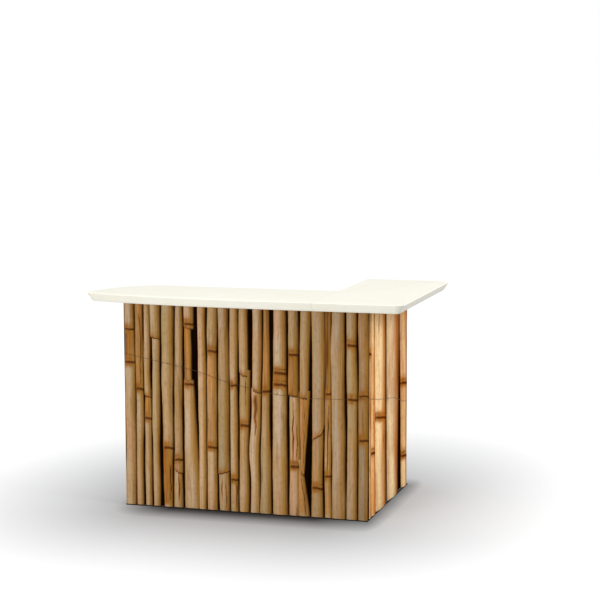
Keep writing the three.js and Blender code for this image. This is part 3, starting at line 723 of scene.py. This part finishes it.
RIGHT_CANES = [
    ((0.002, 0.085, 0.002, 0.080), (0, 1), 0, (0.78,), 0.70, ((0.0, 0.6, 0.4),),
     ((0.2, 0.20, 0.56, 0.12),), 0.002),
    ((0.070, 0.154, 0.070, 0.195), (0, 1), 0, (0.30,), 0.65, ((0.0, 0.3, 0.5),),
     ((-0.1, 0.34, 0.60, 0.08), (0.1, 0.66, 0.98, 0.06)), 0.001),
    ((0.165, 0.460, 0.200, 0.462), (0, 1), 0, (0.442,), 0.35, (), (), 0),
    ((0.470, 0.797, 0.505, 0.775), (0, 1), 0, (), 0.0, (), ((0.75, 0.52, 0.66, 0.05),), 0.0005),
    ((0.803, 0.998, 0.872, 0.998), (0, 1), 0, (0.157, 0.531), 0.60, ((0.157, 0.531, 0.35),), (), 0.0015),
]
LEFT_CANES = [
    ((0.004, 0.245, 0.004, 0.235), (0, 1), 0, (0.22, 0.71), 0.45, (), (), 0),
    ((0.255, 0.470, 0.245, 0.480), (0, 1), 0, (0.52,), 0.65, ((0.52, 1.1, 0.5),), (), 0.001),
    ((0.480, 0.745, 0.495, 0.740), (0, 1), 0, (0.12, 0.83), 0.30, (), ((0.3, 0.45, 0.60, 0.05),), 0),
    ((0.755, 0.996, 0.750, 0.996), (0, 1), 0, (0.41,), 0.50, (), (), 0),
]
END_CANES = [
    ((0.004, 0.225, 0.004, 0.240), (0, 1), 0, (0.64,), 0.50, (), (), 0),
    ((0.240, 0.510, 0.250, 0.500), (0, 1), 0, (0.30, 0.78), 0.30, ((0.30, 0.78, 0.3),), (), 0),
    ((0.520, 0.730, 0.510, 0.745), (0, 1), 0, (0.47,), 0.70, (), ((-0.1, 0.10, 0.28, 0.05),), 0.001),
    ((0.745, 0.996, 0.755, 0.996), (0, 1), 0, (0.10, 0.58), 0.45, (), (), 0),
]
right_low, right_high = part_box("cladding_right")
left_low, left_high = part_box("cladding_left")
end_low, end_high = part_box("cladding_end")
# Each wall: its rows, its width, the turn that brings it round, and where its left end then stands.
WALLS = [
    ("front", FRONT_CANES, wall_high.x - wall_low.x, 0.0, (wall_low.x, wall_low.y, 0), front_bamboo),
    ("right", RIGHT_CANES, right_high.y - right_low.y, math.pi / 2, (right_high.x, right_low.y, 0),
     lit_side_bamboo),
    ("left", LEFT_CANES, left_high.y - left_low.y, -math.pi / 2, (left_low.x, left_high.y, 0), front_bamboo),
    ("end", END_CANES, end_high.x - end_low.x, math.pi, (end_high.x, end_high.y, 0), front_bamboo),
]
# The side wall's rings all fall away a little towards the back.
RING_LEAN = {"right": -0.15}
SEEDS_A_WALL, FIRST_SEED = 40, 0.37


def bring_round(piece, turn, place):
    """Takes a piece from the front of the origin, where it was made, to its wall."""
    piece.data.transform(Matrix.Translation(place) @ Matrix.Rotation(turn, 4, "Z"))


for wall, (side, rows, width, turn, place, finish) in enumerate(WALLS):
    bpy.ops.object.select_all(action="DESELECT")
    canes = join_all([
        grow_cane(*row, width, wall * SEEDS_A_WALL + number + FIRST_SEED, RING_LEAN.get(side, 0.0))
        for number, row in enumerate(rows)
    ])
    canes.name = f"canes_{side}"
    bring_round(canes, turn, place)
    bpy.ops.object.shade_smooth_by_angle(angle=math.radians(42))
    canes.data.materials.clear()
    canes.data.materials.append(finish)
    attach(canes, "frame")
    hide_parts(f"cladding_{side}")

# The boards behind the canes are plywood. The outer face is painted nearly black, which is painted shade so
# the gaps between canes read as shadow, and the inner face, which the barkeeper sees, has a thin dark brown
# stain over its grain.
BOARD_EDGE = 0.0008
BOARD_FACE_COATS = {
    # The first is painted shade for the gaps between canes; the second is the inner face's stain.
    "board_black_gap_shade": (linear(10, 4, 1), linear(24, 10, 3), 0.0),
    "board_brown_stain": (linear(44, 28, 18), linear(92, 62, 40), 0.2),
}
board_coats = []
for coat_name, (dark, light, sheen) in BOARD_FACE_COATS.items():
    board_coat, tree, shader = new_material(coat_name)
    grain = own_noise(tree, 34, 6, (1, 1, 0.07), distortion=0.9)
    pores = own_noise(tree, 320, 3, (1, 1, 0.03))
    wood = mixed(tree, spread(tree, grain, 0.35, 0.7), dark, light)
    wood = mixed(tree, spread(tree, pores, 0.54, 0.72, 0, 0.6), wood, dark)
    tree.links.new(wood, shader.inputs["Base Color"])
    shader.inputs["Specular IOR Level"].default_value = sheen
    tree.links.new(spread(tree, grain, 0.3, 0.7, 0.6, 0.8), shader.inputs["Roughness"])
    bump(tree, shader, pores, 0.3, 0.0005)
    board_coats.append(board_coat)


def box_between(low, high):
    """A box between two opposite corners."""
    bpy.ops.object.select_all(action="DESELECT")
    middle = [(a + b) / 2 for a, b in zip(low, high)]
    bpy.ops.mesh.primitive_cube_add(size=1, location=middle)
    box = bpy.context.object
    box.scale = [b - a for a, b in zip(low, high)]
    bpy.ops.object.transform_apply(location=True, rotation=True, scale=True)
    return box


def round_edges(radius, segments):
    """Rounds every edge of the piece that was made last."""
    bpy.ops.object.mode_set(mode="EDIT")
    bpy.ops.mesh.select_all(action="SELECT")
    bpy.ops.mesh.bevel(offset=radius, segments=segments, affect="EDGES")
    bpy.ops.object.mode_set(mode="OBJECT")


for side, rows, width, turn, place, finish in WALLS:
    board = box_between((0, CANE_DEPTH, WALL_BASE), (width, CANE_DEPTH + BOARD_DEPTH, WALL_TOP))
    board.name = f"board_{side}"
    round_edges(BOARD_EDGE, 2)
    for board_coat in board_coats:
        board.data.materials.append(board_coat)
    for face in board.data.polygons:
        face.material_index = int(face.normal.y > 0.5)
    bring_round(board, turn, place)
    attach(board, "frame")

# A strip of black rubber is glued under each board, set back behind the canes. It closes the gap to the
# floor, which it all but touches, and its black, the rubber's own colour, is also painted shade for that gap.
SEAL_SET_BACK, SEAL_DEPTH, SEAL_CLEAR, SEAL_EDGE = 0.003, 0.009, 0.0004, 0.0012
seal_rubber_gap_shade, tree, shader = cloudy_finish(
    "seal_rubber_gap_shade", linear(26, 22, 18), linear(44, 37, 30), (60, 3), (300, 2), (0.6, 0.8)
)
shader.inputs["Specular IOR Level"].default_value = 0.15
bump(tree, shader, own_noise(tree, 600, 2), 0.3, 0.0003)
for side, rows, width, turn, place, finish in WALLS:
    seal = box_between(
        (SEAL_SET_BACK, SEAL_SET_BACK, SEAL_CLEAR),
        (width - SEAL_SET_BACK, SEAL_SET_BACK + SEAL_DEPTH, WALL_BASE),
    )
    seal.name = f"seal_{side}"
    round_edges(SEAL_EDGE, 3)
    bring_round(seal, turn, place)
    bpy.ops.object.shade_smooth_by_angle(angle=math.radians(35))
    seal.data.materials.append(seal_rubber_gap_shade)
    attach(seal, "frame")

# A thin steel wire, browned with age, ties the canes at mid height. It is drawn tight from crest to crest
# over the front, round the corner and along the side, and its ends are pushed in behind the last canes.
wire_steel, tree, shader = cloudy_finish(
    "tie_wire_browned", linear(52, 34, 18), linear(88, 62, 36), (80, 4), (200, 3), (0.45, 0.75), (0.4, 0.6)
)
shader.inputs["Metallic"].default_value = 0.5
# Its middle stands off the crests by less than its radius, so it presses into them a little.
WIRE_RADIUS, WIRE_STANDS_OFF = 0.0009, 0.00054
# The wire's height along each wall, by the share of its width.
WIRE_HEIGHTS = (
    (0.0, 0.760), (0.18, 0.719), (0.315, 0.685), (0.44, 0.637), (0.58, 0.600), (0.72, 0.580), (0.86, 0.583),
    (1.0, 0.594),
)
WIRE_SIDE_HEIGHTS = ((0.0, 0.592), (0.18, 0.563), (0.42, 0.532), (0.62, 0.511), (0.80, 0.469), (1.0, 0.440))
# Crests are looked for this often and from this far out, and the wire is held at least this often.
LOOK_EVERY, LOOK_FROM, LONGEST_RUN = 0.004, 0.05, 0.16
TUCKED_ALONG, TUCKED_IN = 0.004, 0.008


def height_at(table, share):
    """The wire's height at a share of the wall's width, between the heights of its table."""
    for (a, low), (b, high) in zip(table, table[1:]):
        if share <= b:
            return low + (high - low) * (share - a) / (b - a)
    return table[-1][1]


def crest_points(canes, table, start, along, outward, width):
    """Where a wire at the table's height touches a wall: the crests that it is drawn over."""
    hits = []
    steps = round(width / LOOK_EVERY)
    for at in range(2, steps - 1):
        share = at / steps
        over = start + along * (share * width) + outward * LOOK_FROM
        over.z = height_at(table, share)
        hit, point = canes.ray_cast(over, -outward)[:2]
        if hit:
            hits.append(point + outward * WIRE_STANDS_OFF)
    taut = []
    for point in hits:
        while len(taut) > 1:
            a, b = taut[-2], taut[-1]
            span = (point - a).dot(along)
            line = a + (point - a) * ((b - a).dot(along) / span)
            if (b - line).dot(outward) > 0 or span > LONGEST_RUN:
                break
            taut.pop()
        taut.append(point)
    return taut


to_right, to_back = Vector((1, 0, 0)), Vector((0, 1, 0))
front_points = crest_points(
    bpy.data.objects["canes_front"], WIRE_HEIGHTS, Vector((wall_low.x, wall_low.y, 0)),
    to_right, -to_back, wall_high.x - wall_low.x,
)
side_points = crest_points(
    bpy.data.objects["canes_right"], WIRE_SIDE_HEIGHTS, Vector((right_high.x, right_low.y, 0)),
    to_back, to_right, right_high.y - right_low.y,
)
route = [front_points[0] - to_right * TUCKED_ALONG + to_back * TUCKED_IN] + front_points + side_points
route.append(side_points[-1] - to_right * TUCKED_IN + to_back * TUCKED_ALONG)
line = bpy.data.curves.new("tie_wire", "CURVE")
line.dimensions = "3D"
line.bevel_depth = WIRE_RADIUS
line.bevel_resolution = 2
line.use_fill_caps = True
spline = line.splines.new("POLY")
spline.points.add(len(route) - 1)
for point, co in zip(spline.points, route):
    point.co = (*co, 1)
wire = bpy.data.objects.new("tie_wire", line)
bpy.context.scene.collection.objects.link(wire)
pick_only(wire)
bpy.ops.object.convert(target="MESH")
wire = bpy.context.object
bpy.ops.object.shade_smooth()
wire.data.materials.append(wire_steel)
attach(wire, "frame")

# The counter top is two hollow mouldings of cream plastic, each a deck with a drafted rim all round, and
# ribs, bosses and pegs underneath. They meet in a fine seam across the front, where the return begins.
RIM_HEIGHT, DECK = 0.044, 0.005
COUNTER_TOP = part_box("counter_main")[1].z
COUNTER_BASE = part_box("counter_return")[1].z - RIM_HEIGHT
# Places on the counter's outline are measured from the front wall's left corner. Each section is made a
# little longer than it is and cut off at the seam.
WALL_CORNER = Vector((wall_low.x, wall_low.y))
SEAM, SEAM_GAP, RUN_ON, POINTS_APART = 1.019, 0.0009, 0.100, 0.01
BACK_EDGE, END_EDGE, CURVE_ENDS = 0.273, 0.82378, 0.150
TIP_MIDDLE, TIP_RADIUS = Vector((-0.112, -0.076)), 0.036
FRONT_CORNER, FRONT_CORNER_RADIUS = Vector((1.408, -0.147)), 0.045
END_CORNER_RADIUS = 0.050
# The rim's section from its widest line: how far in, and how high under the top, first down, then up.
RIM_DOWN = (
    (0.0195, 0.0340), (0.0220, 0.0376), (0.0246, 0.0408), (0.0270, 0.0428), (0.0292, 0.0438),
    (0.0315, 0.0440), (0.0324, 0.0437), (0.0328, 0.0425), (0.0340, 0.0050),
)
RIM_UP = ((0.0002, 0.0024), (0.0007, 0.0014), (0.0015, 0.0007), (0.0025, 0.0002), (0.0038, 0.0))
WIDEST, BLANK = 0.0036, 0.0006
# Painted shade: the rim's faces go greyer the more they face towards either end, most at the two ends. 1 is
# as grey as it gets.
END_SHADE_GAIN = 1.25
# Ribs and bosses run from just above the rim's lower edge up into the deck. A wall closes each cut end.
RIB, RIB_PITCH, RIB_CLEAR, INTO_DECK, RIM_INSIDE = 0.005, 0.112, 0.0004, 0.001, 0.0330
SEAM_WALL, SEAM_WALL_CLEAR, OVERRUN, ROOM_HEIGHT = 0.006, 0.0001, 0.01, 0.08
BOSS_RADIUS, PEG_RADIUS, PEG_LENGTH, PEG_EDGE = 0.011, 0.007, 0.018, 0.0012
MAIN_PEGS = [(x, y) for x in (0.1403, 0.905) for y in (0.0328, 0.2025)]
RETURN_PEGS = [(x, y) for x in (1.0375, 1.2072) for y in (0.310, 0.6557)]


def turned(middle, radius, start, end, steps):
    """Points on an arc, in degrees."""
    return [
        middle + radius * Vector((math.cos(a), math.sin(a)))
        for a in (math.radians(start + (end - start) * at / steps) for at in range(steps + 1))
    ]


def swept(start, pull, push, end, steps):
    """Points on a free curve, without its two ends."""
    points = []
    for at in range(1, steps):
        t = at / steps
        points.append(
            start * (1 - t) ** 3 + pull * (3 * t * (1 - t) ** 2) + push * (3 * t * t * (1 - t)) + end * t ** 3
        )
    return points


tip = turned(TIP_MIDDLE, TIP_RADIUS, -188, -107, 14)
back_curve = swept(
    Vector((CURVE_ENDS, BACK_EDGE)), Vector((-0.040, BACK_EDGE)), Vector((-0.1294, 0.0587)), tip[0], 28
)
front_corner = turned(FRONT_CORNER, FRONT_CORNER_RADIUS, -90, 0, 12)
front_curve = swept(tip[-1], Vector((0.2505, -0.22438)), Vector((0.900, -0.200)), front_corner[0], 48)
end_corner = turned(Vector((1.403, END_EDGE - END_CORNER_RADIUS)), END_CORNER_RADIUS, 0, 90, 12)


def front_at(x):
    """The point of the front curve at a given place along the wall."""
    for before, after in zip(front_curve, front_curve[1:]):
        if before.x <= x <= after.x:
            return before.lerp(after, (x - before.x) / (after.x - before.x))


MAIN_OUTLINE = (
    [Vector((SEAM + RUN_ON, BACK_EDGE)), Vector((CURVE_ENDS, BACK_EDGE))] + back_curve + tip
    + [point for point in front_curve if point.x < SEAM + RUN_ON - POINTS_APART]
    + [front_at(SEAM + RUN_ON)]
)
RETURN_OUTLINE = (
    [Vector((SEAM - RUN_ON, END_EDGE)), front_at(SEAM - RUN_ON)]
    + [point for point in front_curve if point.x > SEAM - RUN_ON + POINTS_APART]
    + front_corner + end_corner
)


def slab(outline, z):
    """A many-sided flat face laid on an outline, left selected in edit mode."""
    bpy.ops.object.select_all(action="DESELECT")
    bpy.ops.mesh.primitive_circle_add(vertices=len(outline), fill_type="NGON")
    face = bpy.context.object
    for vertex, point in zip(face.data.vertices, outline):
        vertex.co = (*(point + WALL_CORNER), z)
    bpy.ops.object.mode_set(mode="EDIT")
    bpy.ops.mesh.select_all(action="SELECT")
    return face


def thicken(height):
    """Draws the selected face out to a closed body."""
    bpy.ops.mesh.extrude_region_move(TRANSFORM_OT_translate={"value": (0, 0, height)})
    bpy.ops.mesh.select_all(action="SELECT")
    bpy.ops.mesh.normals_make_consistent(inside=False)


def pick_level_face(piece, upper):
    """Selects only the largest level face on the top or the underside."""
    bpy.ops.mesh.select_all(action="DESELECT")
    shape = bmesh.from_edit_mesh(piece.data)
    shape.normal_update()
    level = [face for face in shape.faces if abs(face.normal.z) > 0.999]
    pick = max if upper else min
    pick(level, key=lambda face: face.calc_center_median().z).select = True
    bmesh.update_edit_mesh(piece.data)


def cut_at_seam(piece, x, keep_right):
    """Cuts a piece along the seam, closes the cut and keeps one side."""
    pick_only(piece)
    bpy.ops.object.mode_set(mode="EDIT")
    bpy.ops.mesh.select_all(action="SELECT")
    bpy.ops.mesh.bisect(
        plane_co=(x, 0, 0), plane_no=(1, 0, 0), use_fill=True,
        clear_inner=keep_right, clear_outer=not keep_right,
    )
    bpy.ops.object.mode_set(mode="OBJECT")


def moulded_tray(outline, seam, keep_right):
    """The deck and its rim, by insets down and up the rim's section, and each face's painted shade."""
    tray = slab(outline, COUNTER_TOP - WIDEST)
    thicken(-BLANK)
    for upper, section, level in ((False, RIM_DOWN, WIDEST + BLANK), (True, RIM_UP, WIDEST)):
        pick_level_face(tray, upper)
        reached = 0.0
        for inward, below in section:
            outward_move = level - below if upper else below - level
            bpy.ops.mesh.inset(thickness=inward - reached, depth=outward_move, use_even_offset=True)
            reached, level = inward, below
    bpy.ops.object.mode_set(mode="OBJECT")
    cut_at_seam(tray, seam, keep_right)
    # Painted shade on the rim: a face goes greyer the more it turns towards either end.
    painted_end_shade = [
        min(1.0, END_SHADE_GAIN * abs(face.normal.x)) * (face.normal.z < 0.3) for face in tray.data.polygons
    ]
    tray.data.attributes.new("painted_end_shade", "FLOAT", "FACE").data.foreach_set("value", painted_end_shade)
    return tray


def clip_inside_rim(ribs, outline):
    """Cuts ribs off where they run into the rim."""
    room = slab(outline, COUNTER_BASE + RIB_CLEAR - OVERRUN)
    bpy.ops.mesh.inset(thickness=RIM_INSIDE, use_even_offset=True)
    bpy.ops.mesh.select_all(action="INVERT")
    bpy.ops.mesh.delete(type="VERT")
    bpy.ops.mesh.select_all(action="SELECT")
    thicken(ROOM_HEIGHT)
    bpy.ops.object.mode_set(mode="OBJECT")
    clip = ribs.modifiers.new("inside_the_rim", "BOOLEAN")
    clip.operation = "INTERSECT"
    clip.object = room
    pick_only(ribs)
    bpy.ops.object.modifier_apply(modifier=clip.name)
    bpy.data.objects.remove(room)


def mould_section(node, outline, pegs, seam, keep_right):
    """One section of the counter: its tray, then its ribs, bosses and pegs."""
    made = [moulded_tray(outline, seam, keep_right)]
    corners = [point + WALL_CORNER for point in outline]
    low_x, high_x = min(point.x for point in corners), max(point.x for point in corners)
    low_y, high_y = min(point.y for point in corners), max(point.y for point in corners)
    low_z, high_z = COUNTER_BASE + RIB_CLEAR, COUNTER_TOP - DECK + INTO_DECK
    from_x, to_x = (seam, high_x) if keep_right else (low_x, seam)
    columns = round((to_x - from_x) / RIB_PITCH)
    rows = round((high_y - low_y) / RIB_PITCH)
    wall_from = seam + SEAM_WALL_CLEAR if keep_right else seam - SEAM_WALL_CLEAR - SEAM_WALL
    across = [from_x + (to_x - from_x) * at / columns for at in range(1, columns)]
    spans = [(x - RIB / 2, x + RIB / 2) for x in across] + [(wall_from, wall_from + SEAM_WALL)]
    along = [low_y + (high_y - low_y) * at / rows for at in range(1, rows)]
    ribs_across = join_all([
        box_between((a, low_y - OVERRUN, low_z), (b, high_y + OVERRUN, high_z)) for a, b in spans
    ])
    ribs_along = join_all([
        box_between((low_x - OVERRUN, y - RIB / 2, low_z), (high_x + OVERRUN, y + RIB / 2, high_z))
        for y in along
    ])
    for ribs in (ribs_across, ribs_along):
        clip_inside_rim(ribs, outline)
        cut_at_seam(ribs, seam, keep_right)
        made.append(ribs)
    for x, y in pegs:
        for radius, from_z in ((BOSS_RADIUS, low_z), (PEG_RADIUS, COUNTER_BASE - PEG_LENGTH)):
            bpy.ops.object.select_all(action="DESELECT")
            bpy.ops.mesh.primitive_cylinder_add(
                vertices=28, radius=radius, depth=high_z - from_z,
                location=(x + WALL_CORNER.x, y + WALL_CORNER.y, (from_z + high_z) / 2),
            )
            round_edges(PEG_EDGE, 3)
            bpy.ops.object.transform_apply(location=True, rotation=True, scale=True)
            made.append(bpy.context.object)
    section = join_all(made)
    section.name = node + "_moulding"
    bpy.ops.object.shade_smooth_by_angle(angle=math.radians(28))
    section.data.materials.clear()
    section.data.materials.append(counter_plastic)
    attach(section, node)
    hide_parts(node)


counter_plastic, tree, shader = new_material("counter_cream_plastic")
cloudy = own_noise(tree, 5, 4)
flecks = own_noise(tree, 240, 3)
cream = mixed(tree, spread(tree, cloudy, 0.35, 0.65), linear(252, 250, 236), linear(250, 247, 231))
# Painted shade: the rim's faces towards its ends are mixed towards grey.
cream = mixed(tree, attribute(tree, "painted_end_shade"), cream, linear(214, 212, 200))
tree.links.new(
    mixed(tree, spread(tree, flecks, 0.62, 0.75, 0, 0.20), cream, linear(228, 224, 207)),
    shader.inputs["Base Color"],
)
tree.links.new(spread(tree, own_noise(tree, 26, 4), 0.3, 0.7, 0.40, 0.52), shader.inputs["Roughness"])
shader.inputs["Specular IOR Level"].default_value = 0.35
pebbled = bump(tree, shader, own_noise(tree, 700, 2), 0.30, 0.0003)
bump(tree, shader, own_noise(tree, 14, 2), 0.10, 0.0008, pebbled)
mould_section("counter_main", MAIN_OUTLINE, MAIN_PEGS, WALL_CORNER.x + SEAM - SEAM_GAP, False)
mould_section("counter_return", RETURN_OUTLINE, RETURN_PEGS, WALL_CORNER.x + SEAM, True)
